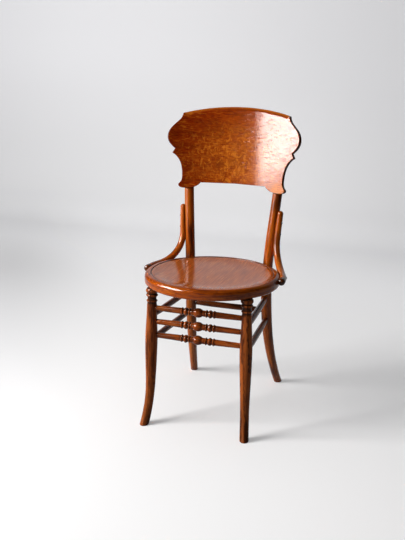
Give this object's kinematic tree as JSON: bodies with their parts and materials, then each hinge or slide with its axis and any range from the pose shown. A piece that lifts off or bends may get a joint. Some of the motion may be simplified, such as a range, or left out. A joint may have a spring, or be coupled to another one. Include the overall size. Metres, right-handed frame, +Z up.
{
  "type": "bentwood dining chair",
  "caption": "Bentwood dining chair with a round dished seat in a bent ring, turned front rungs, side braces and a curved, shaped back panel.",
  "frame": {"origin": "on the floor, under the middle of the chair's box", "axes": "+Z up, -Y towards the front of the seat, +X to the right seen from the front"},
  "size_m": [0.4404, 0.5122, 0.9201],
  "materials": {
    "oak_back": "quarter-sawn oak with ray flecks, red-brown varnish, glossy",
    "oak_seat": "pressed oak veneer, red-brown varnish, glossy",
    "oak_ring": "bent oak, red-brown varnish, satin gloss with wear on its edges",
    "oak_legs": "bent oak, dark red-brown varnish, satin",
    "oak_rungs": "turned oak, dark brown varnish, satin",
    "dark_steel": "darkened steel, dull"
  },
  "bodies": {
    "root": {"back_panel": "oak_back", "seat_panel": "oak_seat", "seat_ring": "oak_ring", "front_leg_left": "oak_legs", "front_leg_right": "oak_legs", "rear_leg_left": "oak_legs", "rear_leg_right": "oak_legs", "brace_left": "oak_legs", "brace_right": "oak_legs", "front_rung_top": "oak_rungs", "front_rung_middle": "oak_rungs", "front_rung_bottom": "oak_rungs", "side_rung_left_upper": "oak_rungs", "side_rung_left_lower": "oak_rungs", "side_rung_right_upper": "oak_rungs", "side_rung_right_lower": "oak_rungs", "rear_rung": "oak_rungs", "panel_screw_left_lower": "dark_steel", "panel_screw_left_upper": "dark_steel", "panel_screw_right_lower": "dark_steel", "panel_screw_right_upper": "dark_steel", "brace_screw_left_upper": "dark_steel", "brace_screw_left_lower": "dark_steel", "brace_screw_right_upper": "dark_steel", "brace_screw_right_lower": "dark_steel", "ring_screw_left": "dark_steel", "ring_screw_right": "dark_steel", "stile_bolt_left": "dark_steel", "stile_bolt_right": "dark_steel", "stile_washer_left": "dark_steel", "stile_washer_right": "dark_steel", "stile_nut_left": "dark_steel", "stile_nut_right": "dark_steel"}
  },
  "joints": []
}
